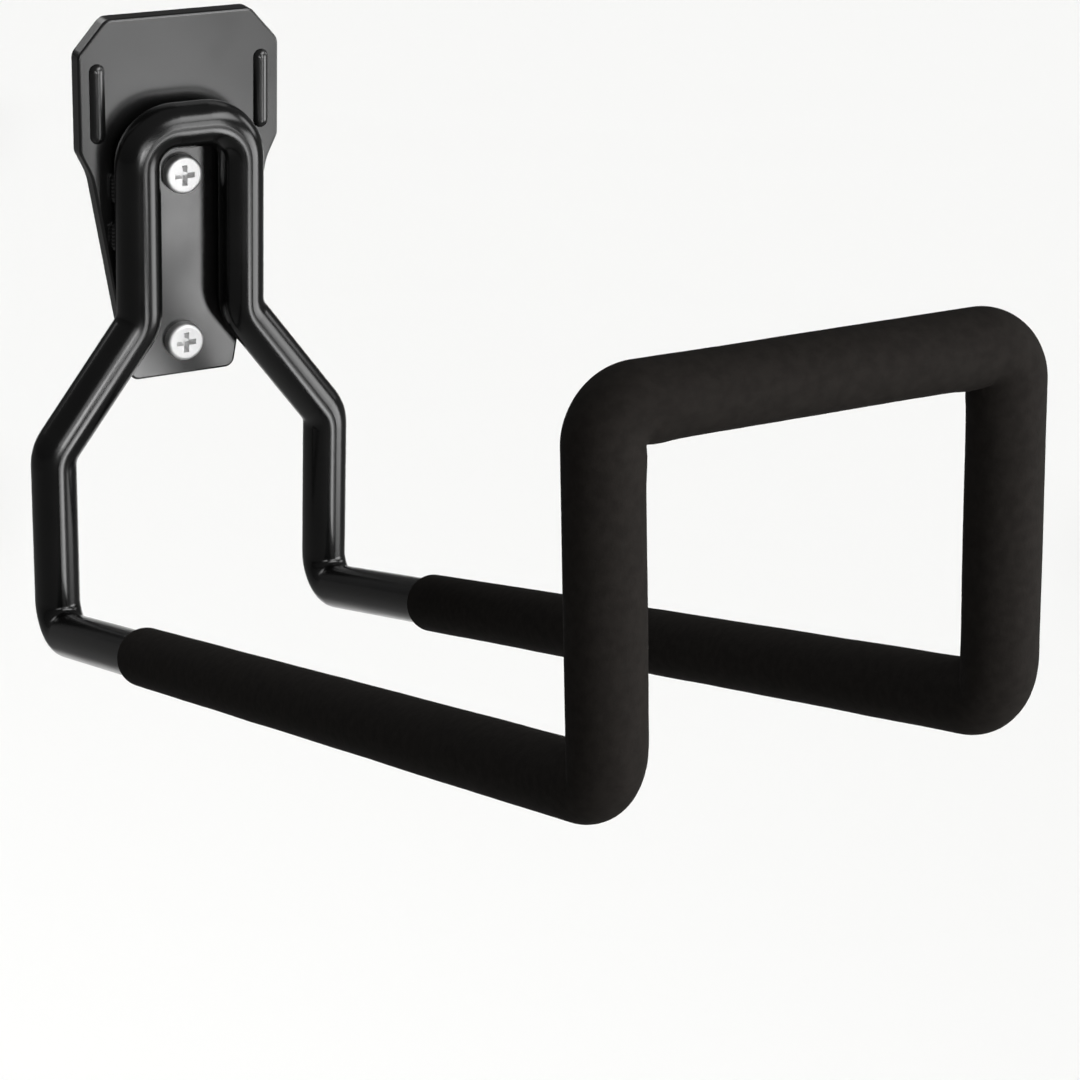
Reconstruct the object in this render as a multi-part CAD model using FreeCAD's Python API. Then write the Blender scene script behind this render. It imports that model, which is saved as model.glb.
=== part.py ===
import FreeCAD, Part
import math
import os

V = FreeCAD.Vector

# Wall-mounted hose hanger. The wall is the plane y = 0, the arms reach towards -Y, +Z is up, +X is right.
# The origin lies on the wall, midway between the two screws. Lengths are in millimetres, angles in degrees.

# Steel tube, bent into one loop. Its runs are measured along the axis, from corner to corner.
TUBE_DIAMETER = 13.0
TUBE_WALL = 1.2
TUBE_END_GAP = 0.4
TOP_BAR_HEIGHT = 40.9
LEG_SPACING = 31.3
LEG_LENGTH = 56.4
FLARE_HEIGHT = 36.0
REAR_SPACING = 85.2
DROP_LENGTH = 56.3
ARM_REACH = 332.85
ARM_RISE_ANGLE = 18.0
FRONT_SPACING = 93.6
FRONT_LENGTH = 76.7
FRONT_LEAN_ANGLE = 6.8

# Radii on the inside of the tube's bends
TOP_INSIDE_RADIUS = 4.4
FLARE_INSIDE_RADIUS = 4.0
REAR_INSIDE_RADIUS = 1.5
FRONT_FOOT_INSIDE_RADIUS = 4.0
FRONT_TOP_INSIDE_RADIUS = 0.6

# Foam sleeve over the arms and the front loop
FOAM_WALL = 1.45
FOAM_FIT = 0.15
FOAM_START = 75.0
FOAM_FOOT_RADIUS = 13.0
FOAM_TOP_RADIUS = 7.6

# Pressed steel wall plate: a broad eight-sided head over a tapering foot. Margins are from the legs' axes.
PLATE_THICKNESS = 5.0
PLATE_TOP = 70.8
HEAD_MARGIN = 14.35
HEAD_CHAMFER_WIDTH = 8.4
HEAD_CHAMFER_HEIGHT = 9.6
HEAD_SIDE = 27.8
SHOULDER_INSET = 3.4
SHOULDER_HEIGHT = 7.0
PLATE_FOOT = 35.6
FOOT_MARGIN = 0.3
HEAD_CORNER_RADIUS = 3.5
WAIST_RADIUS = 16.0
FOOT_CORNER_RADIUS = 3.0
PLATE_EDGE_RADIUS = 0.8

# Two beads pressed forward out of the plate's head
BEAD_WIDTH = 4.6
BEAD_HEIGHT = 1.5
BEAD_LENGTH = 22.8
BEAD_INSET = 5.4

# Two cross-recessed pan-head screws
SCREW_SPACING = 50.0
SCREW_HEAD_DIAMETER = 11.2
SCREW_HEAD_HEIGHT = 3.0
SCREW_HEAD_EDGE_RADIUS = 1.1
SCREW_NECK_DIAMETER = 5.2
SCREW_NECK_REACH = 0.6
SCREW_CORE_DIAMETER = 4.0
SCREW_LENGTH = 31.75
SCREW_POINT = 6.0
SCREW_HOLE_FIT = 0.5
RECESS_SPAN = 6.0
RECESS_WIDTH = 1.6
RECESS_DEPTH = 2.5
RECESS_TAPER = 0.6

# Short fillet welds along the outer side of each leg. Angles are taken round the tube from its contact line.
WELD_LENGTH = 10.0
WELD_PITCH = 14.0
WELD_CENTRE = 16.0
WELD_ROOT_ANGLE = 16.5
WELD_CLIMB_ANGLE = 52.0
WELD_FLANK = 0.8
WELD_BULGE = 0.5

TUBE_RADIUS = TUBE_DIAMETER / 2
FOAM_BORE_RADIUS = TUBE_RADIUS + FOAM_FIT
FOAM_RADIUS = FOAM_BORE_RADIUS + FOAM_WALL
PLATE_FRONT = -PLATE_THICKNESS
HEAD_WIDTH = LEG_SPACING + 2 * HEAD_MARGIN
FOOT_WIDTH = LEG_SPACING + 2 * FOOT_MARGIN
TUBE_AXIS_Y = PLATE_FRONT - TUBE_RADIUS
SCREW_HOLE_RADIUS = SCREW_NECK_DIAMETER / 2 + SCREW_HOLE_FIT


def bend(before, corner, after, radius):
    """The start, middle and end of the arc that rounds a corner, with its centre."""
    arriving = (corner - before).normalize()
    leaving = (after - corner).normalize()
    half_turn = arriving.getAngle(leaving) / 2
    inward = (leaving - arriving).normalize()
    setback = radius * math.tan(half_turn)
    centre = corner + inward * (radius / math.cos(half_turn))
    return corner - arriving * setback, centre - inward * radius, corner + leaving * setback, centre


def rounded_path(points, radii):
    """Straight runs through the points, joined by tangent arcs."""
    edges = []
    at = points[0]
    for before, corner, after, radius in zip(points, points[1:], points[2:], radii):
        start, middle, end, centre = bend(before, corner, after, radius)
        edges.append(Part.LineSegment(at, start).toShape())
        edges.append(Part.Arc(start, middle, end).toShape())
        at = end
    edges.append(Part.LineSegment(at, points[-1]).toShape())
    return Part.Wire(edges)


def rounded_outline(points, radii):
    """A closed outline through the points, with each corner rounded to its own radius."""
    edges = []
    count = len(points)
    bends = [bend(points[i - 1], points[i], points[(i + 1) % count], radii[i]) for i in range(count)]
    for i in range(count):
        start, middle, end, centre = bends[i]
        edges.append(Part.Arc(start, middle, end).toShape())
        edges.append(Part.LineSegment(end, bends[(i + 1) % count][0]).toShape())
    return Part.Wire(edges)


def disc(centre, normal, radius):
    """A round face square to a direction."""
    return Part.Face(Part.Wire(Part.makeCircle(radius, centre, normal)))


def mirrored(points):
    """The points on the other side of the object's middle plane, in reverse order."""
    return [V(-p.x, p.y, p.z) for p in reversed(points)]


def tube_corners():
    """The corners of the tube's axis on the right-hand side, from the front bar to the bar on the plate."""
    flare_top = TOP_BAR_HEIGHT - LEG_LENGTH
    flare_foot = flare_top - FLARE_HEIGHT
    arm_level = flare_foot - DROP_LENGTH
    arm_rise = (ARM_REACH + TUBE_AXIS_Y) * math.tan(math.radians(ARM_RISE_ANGLE))
    lean = math.radians(FRONT_LEAN_ANGLE)
    front_foot = V(FRONT_SPACING / 2, -ARM_REACH, arm_level + arm_rise)
    front_top = front_foot + V(0, math.sin(lean), math.cos(lean)) * FRONT_LENGTH
    rear_foot = V(REAR_SPACING / 2, TUBE_AXIS_Y, arm_level)
    flare_end = V(REAR_SPACING / 2, TUBE_AXIS_Y, flare_foot)
    flare_start = V(LEG_SPACING / 2, TUBE_AXIS_Y, flare_top)
    leg_top = V(LEG_SPACING / 2, TUBE_AXIS_Y, TOP_BAR_HEIGHT)
    return [front_top, front_foot, rear_foot, flare_end, flare_start, leg_top]


def make_hook_tube():
    """One length of tube, whose two ends meet in the middle of the front bar, under the foam."""
    right_side = tube_corners()
    front_top = right_side[0]
    right_end = V(TUBE_END_GAP / 2, front_top.y, front_top.z)
    left_end = V(-TUBE_END_GAP / 2, front_top.y, front_top.z)
    points = [right_end] + right_side + mirrored(right_side) + [left_end]
    inside = [FRONT_TOP_INSIDE_RADIUS, FRONT_FOOT_INSIDE_RADIUS, REAR_INSIDE_RADIUS]
    inside += [FLARE_INSIDE_RADIUS, FLARE_INSIDE_RADIUS, TOP_INSIDE_RADIUS]
    radii = [radius + TUBE_RADIUS for radius in inside + inside[::-1]]
    path = rounded_path(points, radii)
    outside = path.makePipe(disc(right_end, V(1, 0, 0), TUBE_RADIUS))
    hollow = path.makePipe(disc(right_end, V(1, 0, 0), TUBE_RADIUS - TUBE_WALL))
    return outside.cut(hollow)


def foam_points():
    """The corners of the sleeve's axis, from its end on the right arm to its end on the left arm."""
    front_top, front_foot, rear_foot = tube_corners()[:3]
    along_arm = (front_foot - rear_foot).normalize()
    right_side = [rear_foot + along_arm * FOAM_START, front_foot, front_top]
    return right_side + mirrored(right_side)


def turn_between(arriving, leaving):
    """The axis and the angle of the turn from one direction to another."""
    return arriving.cross(leaving).normalize(), math.degrees(arriving.getAngle(leaving))


def foam_foot_corner(before, corner, after):
    """A wide corner. Each half is a run that ends in a mitre, kept within a round bend on the outside."""
    start, middle, end, centre = bend(before, corner, after, FOAM_FOOT_RADIUS)
    axis, turn = turn_between(corner - before, after - corner)
    halves = []
    for edge, half_turn in ((start, turn / 2), (end, -turn / 2)):
        face = disc(edge, corner - edge, FOAM_RADIUS)
        run = face.extrude((corner - edge) * 2)
        round_bend = face.revolve(centre, axis, half_turn)
        halves.append(run.common(round_bend))
    return start, halves, end


def foam_top_corner(before, corner, after):
    """A tight corner: the section beyond the turn's axis, turned about it. The runs meet in a crease."""
    start, middle, end, centre = bend(before, corner, after, FOAM_TOP_RADIUS)
    axis, turn = turn_between(corner - before, after - corner)
    outward = (start - centre).normalize()
    half_chord = math.sqrt(FOAM_RADIUS**2 - FOAM_TOP_RADIUS**2)
    low = centre - axis * half_chord
    high = centre + axis * half_chord
    arc = Part.Arc(low, start + outward * FOAM_RADIUS, high).toShape()
    chord = Part.LineSegment(high, low).toShape()
    section = Part.Face(Part.Wire([arc, chord]))
    return start, [section.revolve(centre, axis, turn)], end


def make_foam_sleeve():
    """A foam tube that is stretched round the outside of the front corners and creased on their inside."""
    points = foam_points()
    corner_makers = [foam_foot_corner, foam_top_corner, foam_top_corner, foam_foot_corner]
    solids = []
    at = points[0]
    for before, corner, after, make_corner in zip(points, points[1:], points[2:], corner_makers):
        start, pieces, end = make_corner(before, corner, after)
        solids.append(disc(at, start - at, FOAM_RADIUS).extrude(start - at))
        solids += pieces
        at = end
    last_run = points[-1] - at
    solids.append(disc(at, last_run, FOAM_RADIUS).extrude(last_run))
    cover = solids[0].multiFuse(solids[1:]).removeSplitter()
    foot_bend = FRONT_FOOT_INSIDE_RADIUS + TUBE_RADIUS
    top_bend = FRONT_TOP_INSIDE_RADIUS + TUBE_RADIUS
    path = rounded_path(points, [foot_bend, top_bend, top_bend, foot_bend])
    bore = path.makePipe(disc(points[0], points[1] - points[0], FOAM_BORE_RADIUS))
    return cover.cut(bore)


def plate_outline():
    """The plate's outline on the wall, clockwise from the right end of its top edge."""
    half_head = HEAD_WIDTH / 2
    side_top = PLATE_TOP - HEAD_CHAMFER_HEIGHT
    side_foot = side_top - HEAD_SIDE
    right_side = [
        V(half_head - HEAD_CHAMFER_WIDTH, 0, PLATE_TOP),
        V(half_head, 0, side_top),
        V(half_head, 0, side_foot),
        V(half_head - SHOULDER_INSET, 0, side_foot - SHOULDER_HEIGHT),
        V(FOOT_WIDTH / 2, 0, -PLATE_FOOT),
    ]
    radii = [HEAD_CORNER_RADIUS, HEAD_CORNER_RADIUS, HEAD_CORNER_RADIUS, WAIST_RADIUS, FOOT_CORNER_RADIUS]
    return rounded_outline(right_side + mirrored(right_side), radii + radii[::-1])


def bead(x, front):
    """A long round-ended bead, standing out of a flat face at the given depth."""
    radius = (BEAD_WIDTH**2 / 4 + BEAD_HEIGHT**2) / (2 * BEAD_HEIGHT)
    middle = PLATE_TOP - HEAD_CHAMFER_HEIGHT - HEAD_SIDE / 2
    depth = front + radius - BEAD_HEIGHT
    half_straight = (BEAD_LENGTH - BEAD_WIDTH) / 2
    low = V(x, depth, middle - half_straight)
    high = V(x, depth, middle + half_straight)
    rod = Part.makeCylinder(radius, 2 * half_straight, low, V(0, 0, 1))
    return rod.multiFuse([Part.makeSphere(radius, low), Part.makeSphere(radius, high)]).removeSplitter()


def screw_heights():
    """The heights of the two screws."""
    return [-SCREW_SPACING / 2, SCREW_SPACING / 2]


def make_wall_plate():
    """A flat plate with an eased front edge, two screw holes, and beads that leave grooves in its back."""
    plate = Part.Face(plate_outline()).extrude(V(0, PLATE_FRONT, 0))
    front_edges = [e for e in plate.Edges if all(abs(v.Y - PLATE_FRONT) < 1e-6 for v in e.Vertexes)]
    plate = plate.makeFillet(PLATE_EDGE_RADIUS, front_edges)
    for side in (-1, 1):
        x = side * (HEAD_WIDTH / 2 - BEAD_INSET)
        plate = plate.fuse(bead(x, PLATE_FRONT)).cut(bead(x, 0))
    for z in screw_heights():
        hole = Part.makeCylinder(SCREW_HOLE_RADIUS, PLATE_THICKNESS, V(0, PLATE_FRONT, z), V(0, 1, 0))
        plate = plate.cut(hole)
    return plate.removeSplitter()


def screw_profile():
    """Half of the screw's section beside its axis: a flat-faced pan head on the plate, then the shank."""
    head_radius = SCREW_HEAD_DIAMETER / 2
    face_radius = head_radius - SCREW_HEAD_EDGE_RADIUS
    neck_radius = SCREW_NECK_DIAMETER / 2
    core_radius = SCREW_CORE_DIAMETER / 2
    top = PLATE_FRONT - SCREW_HEAD_HEIGHT
    shoulder = top + SCREW_HEAD_EDGE_RADIUS
    slant = SCREW_HEAD_EDGE_RADIUS * math.sqrt(0.5)
    edge_middle = V(face_radius + slant, shoulder - slant, 0)
    tip = PLATE_FRONT + SCREW_LENGTH
    corners = [
        V(head_radius, shoulder, 0),
        V(head_radius, PLATE_FRONT, 0),
        V(neck_radius, PLATE_FRONT, 0),
        V(neck_radius, SCREW_NECK_REACH, 0),
        V(core_radius, SCREW_NECK_REACH, 0),
        V(core_radius, tip - SCREW_POINT, 0),
        V(0, tip, 0),
        V(0, top, 0),
        V(face_radius, top, 0),
    ]
    edges = [Part.Arc(corners[-1], edge_middle, corners[0]).toShape()]
    edges += [Part.LineSegment(a, b).toShape() for a, b in zip(corners, corners[1:])]
    return Part.Face(Part.Wire(edges))


def recess_wing(turn):
    """One bar of the cross recess, narrowing towards its floor."""
    top = PLATE_FRONT - SCREW_HEAD_HEIGHT
    half_span = RECESS_SPAN / 2
    half_width = RECESS_WIDTH / 2
    floor_span = half_span * RECESS_TAPER
    floor_width = half_width * RECESS_TAPER
    wing = Part.makeWedge(
        -half_span, top, -half_width, -floor_width, -floor_span,
        half_span, top + RECESS_DEPTH, half_width, floor_width, floor_span,
    )
    wing.rotate(V(0, 0, 0), V(0, 1, 0), turn)
    return wing


def make_wall_screws():
    """Both screws, turned from one profile and driven through the plate's holes."""
    screw = screw_profile().revolve(V(0, 0, 0), V(0, 1, 0), 360)
    screw = screw.cut(recess_wing(0).fuse(recess_wing(90)))
    return Part.makeCompound([screw.translated(V(0, 0, z)) for z in screw_heights()])


def weld_run(side, middle):
    """One fillet weld in the corner between a leg and the plate, on the leg's outer side."""
    leg_x = side * LEG_SPACING / 2
    foot = middle - WELD_LENGTH / 2
    climb = math.radians(WELD_CLIMB_ANGLE)
    root_reach = TUBE_RADIUS * math.sin(math.radians(WELD_ROOT_ANGLE))
    throat_reach = TUBE_RADIUS * math.sin(climb)
    throat_height = TUBE_RADIUS * (1 - math.cos(climb))
    root = V(leg_x + side * root_reach, PLATE_FRONT, foot)
    toe = V(leg_x + side * (throat_reach + WELD_FLANK), PLATE_FRONT, foot)
    throat = V(leg_x + side * throat_reach, PLATE_FRONT - throat_height, foot)
    above_root = V(root.x, throat.y, foot)
    face_middle = (toe + throat) * 0.5 + V(side * WELD_BULGE, -WELD_BULGE / 2, 0)
    edges = [
        Part.LineSegment(root, toe).toShape(),
        Part.Arc(toe, face_middle, throat).toShape(),
        Part.LineSegment(throat, above_root).toShape(),
        Part.LineSegment(above_root, root).toShape(),
    ]
    run = Part.Face(Part.Wire(edges)).extrude(V(0, 0, WELD_LENGTH))
    leg = Part.makeCylinder(TUBE_RADIUS, WELD_LENGTH, V(leg_x, TUBE_AXIS_Y, foot), V(0, 0, 1))
    return run.cut(leg)


def make_weld_seams():
    """Two short welds on each leg."""
    middles = [WELD_CENTRE - WELD_PITCH / 2, WELD_CENTRE + WELD_PITCH / 2]
    return Part.makeCompound([weld_run(side, middle) for side in (-1, 1) for middle in middles])


def main():
    os.makedirs("parts", exist_ok=True)
    parts = {
        "wall_plate": make_wall_plate(),
        "hook_tube": make_hook_tube(),
        "foam_sleeve": make_foam_sleeve(),
        "wall_screws": make_wall_screws(),
        "weld_seams": make_weld_seams(),
    }
    for name, shape in parts.items():
        shape.exportStep(os.path.join("parts", name + ".step"))
        solids = shape.Solids
        box = shape.BoundBox
        print(name, "solids", len(solids), "valid", shape.isValid(), "volume", round(shape.Volume, 1))
        print("    low", [round(v, 2) for v in (box.XMin, box.YMin, box.ZMin)],
              "high", [round(v, 2) for v in (box.XMax, box.YMax, box.ZMax)])


main()
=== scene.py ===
import math

import bmesh
import bpy
from mathutils import Matrix, Vector, noise


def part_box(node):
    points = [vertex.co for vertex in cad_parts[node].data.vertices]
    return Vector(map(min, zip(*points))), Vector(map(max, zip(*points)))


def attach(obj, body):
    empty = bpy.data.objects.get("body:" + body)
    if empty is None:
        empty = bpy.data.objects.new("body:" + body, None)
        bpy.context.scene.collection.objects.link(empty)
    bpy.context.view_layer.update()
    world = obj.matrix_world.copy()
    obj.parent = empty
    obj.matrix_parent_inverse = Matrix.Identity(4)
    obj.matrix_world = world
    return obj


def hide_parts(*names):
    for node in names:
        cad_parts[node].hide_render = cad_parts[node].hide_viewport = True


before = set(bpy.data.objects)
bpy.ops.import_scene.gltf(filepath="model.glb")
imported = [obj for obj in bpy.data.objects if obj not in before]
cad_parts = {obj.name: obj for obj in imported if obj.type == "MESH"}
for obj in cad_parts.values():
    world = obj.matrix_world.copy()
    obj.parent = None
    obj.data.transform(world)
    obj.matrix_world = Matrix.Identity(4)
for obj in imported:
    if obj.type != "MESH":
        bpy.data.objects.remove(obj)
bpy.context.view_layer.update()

MM = 0.001

# Sizes shared with the solids, in metres. The wall is y = 0, the arms reach towards -y, and z is up.
TUBE_RADIUS = 6.5 * MM
PLATE_FRONT = -5.0 * MM
LEG_HALF = 15.65 * MM
LEG_DEPTH = PLATE_FRONT - TUBE_RADIUS
ARM_RUN = 321.35 * MM
ARM_RISE = ARM_RUN * math.tan(math.radians(18.0))
FRONT_LENGTH = 76.7 * MM
FRONT_LEAN = math.radians(6.8)
REAR_FOOT = Vector((42.6 * MM, LEG_DEPTH, -107.8 * MM))
FRONT_FOOT = REAR_FOOT + Vector((4.2 * MM, -ARM_RUN, ARM_RISE))
FRONT_TOP = FRONT_FOOT + Vector((0, math.sin(FRONT_LEAN), math.cos(FRONT_LEAN))) * FRONT_LENGTH
FOAM_RADIUS = 8.1 * MM
FOAM_BORE = 6.65 * MM
FOAM_START = 75.0 * MM
FOAM_TURNS = (13.0 * MM, 7.6 * MM, 7.6 * MM, 13.0 * MM)
BORE_TURNS = (10.5 * MM, 7.1 * MM, 7.1 * MM, 10.5 * MM)
SCREW_SPACING = 50.0 * MM
SCREW_CORE = 2.0 * MM
SCREW_POINT = 6.0 * MM
WELD_LENGTH = 10.0 * MM
WELD_CENTRES = (9.0 * MM, 23.0 * MM)
WELD_ROOT_ANGLE = math.radians(16.5)
WELD_CLIMB_ANGLE = math.radians(52.0)

# Foam unevenness and end cuts.
FOAM_SIDES = 64
FOAM_STEP = 2.0 * MM
FOAM_ELBOW_STEPS = 24
BORE_STEP = 6.0 * MM
BORE_ELBOW_STEPS = 8
FOAM_WAVE = 0.10 * MM
FOAM_WAVE_LENGTH = 22.0 * MM
FOAM_DIMPLE = 0.035 * MM
FOAM_DIMPLE_LENGTH = 5.0 * MM
FOAM_PINCH = 0.35 * MM
FOAM_PINCH_REACH = 3.0 * MM
FOAM_CUT_ROUND = 0.5 * MM

# Screw thread.
THREAD_PITCH = 2.1 * MM
THREAD_HEIGHT = 0.7 * MM
THREAD_WIDTH = 0.95 * MM
THREAD_START = 1.6 * MM
THREAD_STEPS = 36

# Weld ripples.
WELD_STEPS = 72
WELD_ACROSS = 10
WELD_CROWN = 0.45 * MM
WELD_RIPPLE = 0.10 * MM
WELD_RIPPLE_PITCH = 1.1 * MM
WELD_TOE = 0.8 * MM

# The camera, fitted to the tube's corners.
CAMERA_PLACE = Vector((-316.29, -777.51, 272.52)) * MM
CAMERA_YAW = math.radians(29.556)
CAMERA_PITCH = math.radians(-23.285)
CAMERA_ROLL = math.radians(2.287)
CAMERA_LENS = 100.91
CAMERA_SENSOR = 36.0

# The room: the hanger is about chest high over the floor.
FLOOR_DROP = 1.2
FLOOR_HALF = 20.0
FLOOR_COLOUR = (0.90, 0.90, 0.89, 1.0)
SKY_ZENITH = 0.15
SKY_HORIZON = 0.07

# Soft boxes, and the strips that light the floor behind the hanger.
BOX_DISTANCE = 1.5
BOX_AIM = (0, -0.1, 0)
BOX_SPREAD = 80
STRIP_COUNT = 3
STRIP_START = 2.7
STRIP_LENGTH = 1.7
STRIP_WIDTH = 1.7
STRIP_WIDENING = 0.6
STRIP_HEIGHT = 0.5
STRIP_RADIANCE = 0.92
STRIP_SPREAD = 60


def add_mesh(name, points, faces, sharp_angle):
    """A smooth-shaded mesh object with doubles merged and its normals outward."""
    work = bmesh.new()
    corners = [work.verts.new(point) for point in points]
    for face in faces:
        work.faces.new([corners[i] for i in face])
    bmesh.ops.remove_doubles(work, verts=work.verts, dist=0.004 * MM)
    bmesh.ops.dissolve_degenerate(work, edges=work.edges, dist=0.004 * MM)
    bmesh.ops.recalc_face_normals(work, faces=work.faces)
    mesh = bpy.data.meshes.new(name)
    work.to_mesh(mesh)
    work.free()
    mesh.polygons.foreach_set("use_smooth", [True] * len(mesh.polygons))
    mesh.set_sharp_from_angle(angle=math.radians(sharp_angle))
    piece = bpy.data.objects.new(name, mesh)
    bpy.context.scene.collection.objects.link(piece)
    return piece


def joined_rings(rings):
    """Points and quads of a run of closed rings that all have the same number of points."""
    count = len(rings[0])
    points = [point for ring in rings for point in ring]
    faces = []
    for k in range(len(rings) - 1):
        for i in range(count):
            j = (i + 1) % count
            faces.append((k * count + i, k * count + j, (k + 1) * count + j, (k + 1) * count + i))
    return points, faces


def dressed(piece, material):
    """Gives a scene piece its material and its place on the body."""
    piece.data.materials.append(material)
    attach(piece, "root")
    return piece


# Foam sleeve

def foam_route():
    """The sleeve's axis from one cut end round the front loop to the other."""
    along = (FRONT_FOOT - REAR_FOOT).normalized()
    right = [REAR_FOOT + along * FOAM_START, FRONT_FOOT, FRONT_TOP]
    left = [Vector((-point.x, point.y, point.z)) for point in reversed(right)]
    return right + left


class Corner:
    """One bend of the route, turned about a pivot on its inside."""

    def __init__(self, before, at, after, radius):
        self.radius = radius
        self.arriving = (at - before).normalized()
        self.leaving = (after - at).normalized()
        self.turn = self.arriving.angle(self.leaving)
        self.slope = math.tan(self.turn / 2)
        self.setback = radius * self.slope
        self.axis = self.arriving.cross(self.leaving).normalized()
        self.inward = self.axis.cross(self.arriving)
        self.inward_after = self.axis.cross(self.leaving)
        self.start = at - self.arriving * self.setback
        self.pivot = self.start + self.inward * radius

    def depth(self, offset, inward):
        """How far a point of the section is from the pivot line. It is below zero beyond the line."""
        return self.radius - offset.dot(inward)

    def crease_gap(self, depth, share):
        """Distance along the skin from a section of the bend to the crease in its middle."""
        return max(0.0, depth) * self.turn * abs(share - 0.5)

    def mitred(self, share, facing, radius):
        """The skin's distance from the bend's axis in one section, kept within the mitred runs."""
        angle = self.turn * min(share, 1 - share)
        shift = self.radius * (1 - math.cos(angle))
        across = facing * math.cos(angle)
        square = across**2 + 1 - facing**2
        half = shift * across
        root = math.sqrt(half**2 + square * (radius**2 - shift**2))
        return min(radius, (root - half) / square)


def swell(point, pinch):
    """How far the skin stands proud: slow waves, small dimples and the foam pushed up beside a crease."""
    wave = noise.noise(point / FOAM_WAVE_LENGTH)
    dimple = noise.noise(point / FOAM_DIMPLE_LENGTH)
    return FOAM_WAVE * wave + FOAM_DIMPLE * dimple + FOAM_PINCH * pinch


def pinch_share(distance, facing):
    """How much the skin is pushed up beside a crease: most on the inside of the bend, a little way off it."""
    near = math.exp(-((distance / FOAM_PINCH_REACH - 1) ** 2))
    return near * max(0.0, facing) ** 3


def foam_rings(radius, turns, step, elbow_steps, skin):
    """Closed rings along the whole route. The skin has a crease inside every bend and is uneven."""
    route = foam_route()
    bends = [Corner(*corner) for corner in zip(route, route[1:], route[2:], turns)]
    along = (route[1] - route[0]).normalized()
    side = along.cross(Vector((0, 0, 1))).normalized()
    lift = side.cross(along)
    angles = [2 * math.pi * i / FOAM_SIDES for i in range(FOAM_SIDES)]
    rings = []
    for leg in range(len(route) - 1):
        before = bends[leg - 1] if leg > 0 else None
        after = bends[leg] if leg < len(bends) else None
        start = route[leg]
        along = (route[leg + 1] - start).normalized()
        low = before.setback if before else 0.0
        high = (route[leg + 1] - start).length - (after.setback if after else 0.0)
        arms = [math.cos(angle) * side + math.sin(angle) * lift for angle in angles]
        count = max(2, round((high - low) / step))
        for k in range(count + 1):
            at = low + (high - low) * k / count
            run = (start, along, at, low, high)
            rings.append([straight_point(run, arm, radius, before, after, skin) for arm in arms])
        if after:
            for k in range(1, elbow_steps):
                rings.append([elbow_point(after, k / elbow_steps, arm, radius, skin) for arm in arms])
            side = Matrix.Rotation(after.turn, 3, after.axis) @ side
            lift = Matrix.Rotation(after.turn, 3, after.axis) @ lift
    return rings


def straight_point(run, arm, radius, before, after, skin):
    """A point on a straight run. Inside a tight bend it stops at the crease."""
    start, along, at, low, high = run
    place = at
    pinch = 0.0
    if before:
        depth = before.depth(arm * radius, before.inward_after)
        limit = low - min(0.0, depth) * before.slope
        place = max(place, limit)
        pinch += pinch_share(place - limit + before.crease_gap(depth, 1), arm.dot(before.inward_after))
    if after:
        depth = after.depth(arm * radius, after.inward)
        limit = high + min(0.0, depth) * after.slope
        place = min(place, limit)
        pinch += pinch_share(limit - place + after.crease_gap(depth, 0), arm.dot(after.inward))
    if not skin:
        return start + along * place + arm * radius
    grown = radius + swell(start + along * place + arm * radius, pinch)
    if before and place > at:
        place = low - min(0.0, before.depth(arm * grown, before.inward_after)) * before.slope
    if after and place < at:
        place = high + min(0.0, after.depth(arm * grown, after.inward)) * after.slope
    return start + along * place + arm * grown


def elbow_point(bend, share, arm, radius, skin):
    """A point in a bend: it swings round the pivot, or stays on the crease where it lies beyond the pivot."""
    facing = arm.dot(bend.inward)
    depth = bend.depth(arm * radius, bend.inward)
    pinch = pinch_share(bend.crease_gap(depth, share), facing)
    if depth < 0:
        grown = radius
        if skin:
            place = bend.start + bend.arriving * depth * bend.slope
            grown += swell(place + arm * radius, pinch)
        depth = bend.depth(arm * grown, bend.inward)
        return bend.start + bend.arriving * min(0.0, depth) * bend.slope + arm * grown
    wide = bend.radius > radius
    reach = bend.mitred(share, facing, radius) if skin and wide else radius
    swing = Matrix.Rotation(bend.turn * share, 3, bend.axis)
    point = bend.pivot + swing @ (bend.start + arm * reach - bend.pivot)
    if skin:
        point += (swing @ arm) * swell(point, pinch)
    return point


def cut_end(ring, centre, outward):
    """Rings that round a cut edge over and close the end face down to the bore."""
    rings = []
    for k in range(1, 5):
        angle = math.pi / 2 * k / 4
        shrink = FOAM_CUT_ROUND * (1 - math.cos(angle))
        push = FOAM_CUT_ROUND * math.sin(angle)
        rings.append([point - (point - centre).normalized() * shrink + outward * push for point in ring])
    face = rings[-1]
    middle = centre + outward * FOAM_CUT_ROUND
    outer = FOAM_RADIUS - FOAM_CUT_ROUND
    for k in range(1, 4):
        share = k / 3
        radius = outer + (FOAM_BORE - outer) * share
        rings.append([middle + (point - middle).normalized() * radius for point in face])
    return rings


def make_foam(material):
    """The sleeve's skin with its cut ends and its bore, as one closed mesh."""
    route = foam_route()
    skin = foam_rings(FOAM_RADIUS, FOAM_TURNS, FOAM_STEP, FOAM_ELBOW_STEPS, True)
    first = (route[0] - route[1]).normalized()
    last = (route[-1] - route[-2]).normalized()
    opening = list(reversed(cut_end(skin[0], route[0], first)))
    closing = cut_end(skin[-1], route[-1], last)
    rings = opening + skin + closing
    bore = foam_rings(FOAM_BORE, BORE_TURNS, BORE_STEP, BORE_ELBOW_STEPS, False)
    rings += list(reversed(bore))
    rings.append(rings[0])
    points, faces = joined_rings(rings)
    piece = add_mesh("foam_skin", points, faces, 50)
    dressed(piece, material)
    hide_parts("foam_sleeve")


# Screw threads

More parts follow.
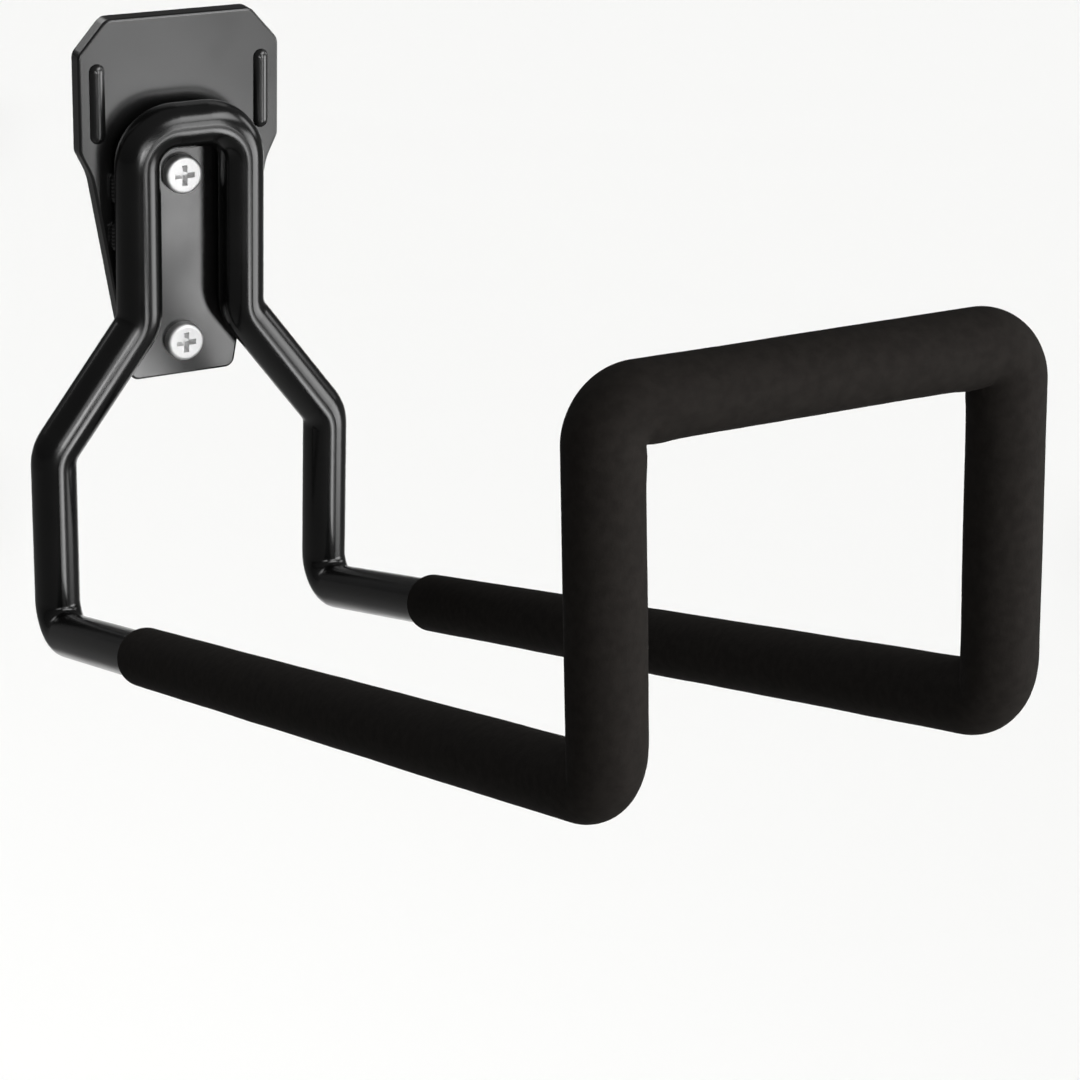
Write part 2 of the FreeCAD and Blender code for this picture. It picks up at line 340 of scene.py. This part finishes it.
def make_thread(name, height, material):
    """A right-handed thread ridge round one screw's core, running out on the point."""
    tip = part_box("wall_screws")[1].y
    taper = tip - SCREW_POINT
    turns = (tip - THREAD_START) / THREAD_PITCH - 0.4
    count = int(turns * THREAD_STEPS)
    rings = []
    for k in range(count + 1):
        angle = 2 * math.pi * k / THREAD_STEPS
        y = THREAD_START + THREAD_PITCH * k / THREAD_STEPS
        core = SCREW_CORE * min(1.0, (tip - y) / SCREW_POINT) if y > taper else SCREW_CORE
        fade = min(1.0, k / THREAD_STEPS, (count - k) / (1.5 * THREAD_STEPS))
        crest = core + max(0.02 * MM, THREAD_HEIGHT * fade)
        root = max(0.05 * MM, core - 0.08 * MM)
        radial = Vector((math.cos(angle), 0, math.sin(angle)))
        centre = Vector((0, y, height))
        half = Vector((0, THREAD_WIDTH / 2, 0))
        flat = Vector((0, THREAD_WIDTH / 12, 0))
        rings.append([
            centre + radial * root - half,
            centre + radial * crest - flat,
            centre + radial * crest + flat,
            centre + radial * root + half,
        ])
    points, faces = joined_rings(rings)
    last = len(points) - 4
    faces += [(0, 1, 2, 3), (last + 3, last + 2, last + 1, last)]
    dressed(add_mesh(name, points, faces, 35), material)


# Weld beads

def weld_section(side, share, z):
    """One section of a fillet bead: root, then across its crown from the tube's flank down to the plate."""
    def on_tube(angle):
        x = LEG_HALF + TUBE_RADIUS * math.sin(angle)
        return Vector((x, LEG_DEPTH + TUBE_RADIUS * math.cos(angle), 0))

    full = (1 - abs(share) ** 6) ** 0.5
    root = on_tube(WELD_ROOT_ANGLE)
    climb = on_tube(WELD_ROOT_ANGLE + (WELD_CLIMB_ANGLE - WELD_ROOT_ANGLE) * full)
    toe_x = root.x + (on_tube(WELD_CLIMB_ANGLE).x + WELD_TOE - root.x) * full
    toe = Vector((toe_x, PLATE_FRONT + 0.05 * MM, 0))
    normal = Vector((climb.y - toe.y, toe.x - climb.x, 0))
    normal = normal.normalized() if normal.length > 0 else Vector((1, 0, 0))
    if normal.x < 0:
        normal = -normal
    ring = [Vector((root.x, PLATE_FRONT + 0.05 * MM, 0))]
    for i in range(WELD_ACROSS + 1):
        across = i / WELD_ACROSS
        arch = 4 * across * (1 - across)
        wave = math.cos(2 * math.pi * (z / WELD_RIPPLE_PITCH + 0.5 * arch))
        proud = full * (WELD_CROWN * arch + WELD_RIPPLE * arch ** 0.5 * wave)
        ring.append(climb.lerp(toe, across) + normal * proud)
    return [Vector((side * point.x, point.y, z)) for point in ring]


def make_welds(material):
    """Four rippled beads, two on the outer side of each leg."""
    points = []
    faces = []
    for side in (-1, 1):
        for centre in WELD_CENTRES:
            rings = []
            for k in range(WELD_STEPS + 1):
                share = 2 * k / WELD_STEPS - 1
                rings.append(weld_section(side, share, centre + share * WELD_LENGTH / 2))
            new_points, new_faces = joined_rings(rings)
            faces += [tuple(len(points) + i for i in face) for face in new_faces]
            points += new_points
    piece = add_mesh("weld_beads", points, faces, 60)
    dressed(piece, material)
    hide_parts("weld_seams")


# Materials

def blank_material(name):
    """A new material, with its nodes, its links and its main shader."""
    material = bpy.data.materials.new(name)
    material.use_nodes = True
    nodes = material.node_tree.nodes
    return material, nodes, material.node_tree.links, nodes["Principled BSDF"]


def noise_texture(nodes, links, scale, detail, stretch=(1, 1, 1)):
    """Noise in the piece's own coordinates, in features a metre."""
    place = nodes.new("ShaderNodeTexCoord")
    mapping = nodes.new("ShaderNodeMapping")
    mapping.inputs["Scale"].default_value = stretch
    texture = nodes.new("ShaderNodeTexNoise")
    texture.inputs["Scale"].default_value = scale
    texture.inputs["Detail"].default_value = detail
    links.new(place.outputs["Object"], mapping.inputs["Vector"])
    links.new(mapping.outputs["Vector"], texture.inputs["Vector"])
    return texture.outputs["Fac"]


def spread_over(nodes, links, value, low, high):
    """Takes the middle of a noise out to a range of numbers."""
    spread = nodes.new("ShaderNodeMapRange")
    spread.inputs["From Min"].default_value = 0.3
    spread.inputs["From Max"].default_value = 0.7
    spread.inputs["To Min"].default_value = low
    spread.inputs["To Max"].default_value = high
    links.new(value, spread.inputs["Value"])
    return spread.outputs["Result"]


def blend_colours(nodes, links, value, first, second):
    """A colour between two, by a noise."""
    ramp = nodes.new("ShaderNodeValToRGB")
    ramp.color_ramp.elements[0].position = 0.35
    ramp.color_ramp.elements[0].color = (*first, 1)
    ramp.color_ramp.elements[1].position = 0.65
    ramp.color_ramp.elements[1].color = (*second, 1)
    links.new(value, ramp.inputs["Fac"])
    return ramp.outputs["Color"]


def add_bump(nodes, links, height, distance, strength, below=None):
    """Small relief by a noise, over another relief if there is one."""
    bump = nodes.new("ShaderNodeBump")
    bump.inputs["Distance"].default_value = distance
    bump.inputs["Strength"].default_value = strength
    links.new(height, bump.inputs["Height"])
    if below:
        links.new(below, bump.inputs["Normal"])
    return bump.outputs["Normal"]


def plate_material():
    """Black coat with a strong, slightly soft mirror: fine peel and faint rubbed patches."""
    material, nodes, links, shader = blank_material("plate_coat")
    patches = noise_texture(nodes, links, 60, 3)
    peel = noise_texture(nodes, links, 900, 2)
    colour = blend_colours(nodes, links, patches, (0.004, 0.004, 0.004), (0.006, 0.006, 0.006))
    links.new(colour, shader.inputs["Base Color"])
    links.new(spread_over(nodes, links, patches, 0.20, 0.26), shader.inputs["Roughness"])
    shader.inputs["IOR"].default_value = 1.70
    links.new(add_bump(nodes, links, peel, 0.01 * MM, 0.5), shader.inputs["Normal"])
    return material


def tube_material():
    """Gloss black coat: soft orange peel over the bends and a little change in gloss."""
    material, nodes, links, shader = blank_material("tube_coat")
    patches = noise_texture(nodes, links, 45, 3)
    peel = noise_texture(nodes, links, 700, 2)
    colour = blend_colours(nodes, links, patches, (0.002, 0.002, 0.002), (0.004, 0.004, 0.004))
    links.new(colour, shader.inputs["Base Color"])
    links.new(spread_over(nodes, links, patches, 0.18, 0.23), shader.inputs["Roughness"])
    shader.inputs["IOR"].default_value = 1.57
    links.new(add_bump(nodes, links, peel, 0.012 * MM, 0.5), shader.inputs["Normal"])
    return material


def foam_material():
    """Matt charcoal foam: fine closed cells, a mottled skin and slightly warm."""
    material, nodes, links, shader = blank_material("foam")
    mottle = noise_texture(nodes, links, 420, 5)
    cells = noise_texture(nodes, links, 1500, 3)
    pores = noise_texture(nodes, links, 480, 2)
    colour = blend_colours(nodes, links, mottle, (0.0125, 0.0107, 0.0094), (0.0165, 0.0143, 0.0126))
    links.new(colour, shader.inputs["Base Color"])
    shader.inputs["Roughness"].default_value = 0.85
    shader.inputs["Specular IOR Level"].default_value = 0.1
    coarse = add_bump(nodes, links, pores, 0.10 * MM, 0.6)
    links.new(add_bump(nodes, links, cells, 0.06 * MM, 0.7, coarse), shader.inputs["Normal"])
    return material


def screw_material():
    """Bright zinc plate with fine turning marks and small dull spots."""
    material, nodes, links, shader = blank_material("screw_steel")
    spots = noise_texture(nodes, links, 350, 4)
    marks = noise_texture(nodes, links, 1400, 2, (1, 0.15, 1))
    colour = blend_colours(nodes, links, spots, (0.76, 0.76, 0.76), (0.84, 0.84, 0.84))
    links.new(colour, shader.inputs["Base Color"])
    links.new(spread_over(nodes, links, spots, 0.50, 0.62), shader.inputs["Roughness"])
    shader.inputs["Metallic"].default_value = 1.0
    links.new(add_bump(nodes, links, marks, 0.01 * MM, 0.4), shader.inputs["Normal"])
    return material


def floor_material():
    """Plain pale and matt."""
    material, nodes, links, shader = blank_material("floor")
    shader.inputs["Base Color"].default_value = FLOOR_COLOUR
    shader.inputs["Roughness"].default_value = 1.0
    shader.inputs["Specular IOR Level"].default_value = 0.0
    return material


# Room, lamps and camera

def make_floor():
    square = ((-1, -1), (1, -1), (1, 1), (-1, 1))
    corners = [(x * FLOOR_HALF, y * FLOOR_HALF, -FLOOR_DROP) for x, y in square]
    floor = add_mesh("floor", corners, [(0, 1, 2, 3)], 30)
    floor.data.materials.append(floor_material())


def make_sky():
    """A dim room that is lightest overhead."""
    world = bpy.data.worlds.new("room")
    world.use_nodes = True
    bpy.context.scene.world = world
    nodes = world.node_tree.nodes
    links = world.node_tree.links
    place = nodes.new("ShaderNodeTexCoord")
    split = nodes.new("ShaderNodeSeparateXYZ")
    level = nodes.new("ShaderNodeMapRange")
    level.inputs["To Min"].default_value = SKY_HORIZON
    level.inputs["To Max"].default_value = SKY_ZENITH
    links.new(place.outputs["Generated"], split.inputs["Vector"])
    links.new(split.outputs["Z"], level.inputs["Value"])
    links.new(level.outputs["Result"], nodes["Background"].inputs["Strength"])
    nodes["Background"].inputs["Color"].default_value = (1, 1, 1, 1)


def make_lamp(name, place, target, width, height, radiance, spread):
    """A soft box of an even radiance that faces the target."""
    data = bpy.data.lights.new(name, "AREA")
    data.shape = "RECTANGLE"
    data.size = width
    data.size_y = height
    data.energy = radiance * math.pi * width * height
    data.spread = math.radians(spread)
    lamp = bpy.data.objects.new(name, data)
    lamp.location = place
    lamp.rotation_euler = (Vector(target) - Vector(place)).to_track_quat("-Z", "Y").to_euler()
    lamp.visible_camera = False
    bpy.context.scene.collection.objects.link(lamp)
    return lamp


def bearing(azimuth, elevation, distance):
    """A place seen from the hanger: azimuth to the right of straight ahead, elevation above level."""
    turn = math.radians(azimuth)
    rise = math.radians(elevation)
    level = math.cos(rise)
    return Vector((math.sin(turn) * level, -math.cos(turn) * level, math.sin(rise))) * distance


def soft_box(name, azimuth, elevation, width, height, radiance):
    """A soft box at the common distance, turned to the hanger."""
    make_lamp(name, bearing(azimuth, elevation, BOX_DISTANCE), BOX_AIM, width, height, radiance, BOX_SPREAD)


def make_lamps():
    """Soft boxes ahead, to the right, above and behind, and two small ones near the camera's side."""
    soft_box("front_box", 22, 1, 0.50, 0.50, 1.00)
    soft_box("upper_box", 22, 16, 0.45, 0.35, 0.70)
    soft_box("low_box", 20, -24, 0.25, 0.50, 1.60)
    soft_box("side_box", 58, -8.5, 0.70, 0.90, 0.95)
    soft_box("top_box", 38, 39, 1.60, 0.60, 0.95)
    soft_box("fill_box", -20, 9, 0.45, 0.45, 0.40)
    soft_box("mid_box", -8, 0, 0.40, 0.30, 2.00)
    soft_box("back_box", 200, 35, 1.20, 0.80, 0.40)
    soft_box("rim_box", 90, 17, 0.45, 0.60, 0.50)


def make_floor_strips():
    """Lamps low over the floor behind the hanger. They widen with the camera's view."""
    ahead = Vector((math.sin(CAMERA_YAW), math.cos(CAMERA_YAW), 0))
    for k in range(STRIP_COUNT):
        width = STRIP_WIDTH + k * STRIP_WIDENING
        place = CAMERA_PLACE + ahead * (STRIP_START + k * STRIP_LENGTH)
        place.z = STRIP_HEIGHT - FLOOR_DROP
        below = Vector((place.x, place.y, -FLOOR_DROP))
        strip = make_lamp("floor_strip", place, below, width, STRIP_LENGTH, STRIP_RADIANCE, STRIP_SPREAD)
        strip.rotation_euler = (0, 0, -CAMERA_YAW)


def make_camera():
    """The fitted camera."""
    forward = Vector((
        math.sin(CAMERA_YAW) * math.cos(CAMERA_PITCH),
        math.cos(CAMERA_YAW) * math.cos(CAMERA_PITCH),
        math.sin(CAMERA_PITCH),
    ))
    level = Vector((math.cos(CAMERA_YAW), -math.sin(CAMERA_YAW), 0))
    upright = level.cross(forward)
    right = math.cos(CAMERA_ROLL) * level + math.sin(CAMERA_ROLL) * upright
    up = math.cos(CAMERA_ROLL) * upright - math.sin(CAMERA_ROLL) * level
    data = bpy.data.cameras.new("camera")
    data.sensor_width = CAMERA_SENSOR
    data.lens = CAMERA_LENS
    data.clip_end = 100.0
    camera = bpy.data.objects.new("camera", data)
    turn = Matrix((right, up, -forward)).transposed()
    camera.matrix_world = Matrix.Translation(CAMERA_PLACE) @ turn.to_4x4()
    bpy.context.scene.collection.objects.link(camera)
    bpy.context.scene.camera = camera


def dress_solids(coats):
    """Gives each CAD solid its material."""
    for node, material in coats.items():
        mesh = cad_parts[node].data
        mesh.materials.clear()
        mesh.materials.append(material)


def main():
    plate = plate_material()
    tube = tube_material()
    foam = foam_material()
    steel = screw_material()
    dress_solids({
        "wall_plate": plate,
        "hook_tube": tube,
        "foam_sleeve": foam,
        "wall_screws": steel,
        "weld_seams": tube,
    })
    make_foam(foam)
    make_welds(tube)
    make_thread("thread_upper", SCREW_SPACING / 2, steel)
    make_thread("thread_lower", -SCREW_SPACING / 2, steel)
    make_floor()
    make_sky()
    make_lamps()
    make_floor_strips()
    make_camera()
    bpy.context.scene.view_settings.view_transform = "Standard"


main()
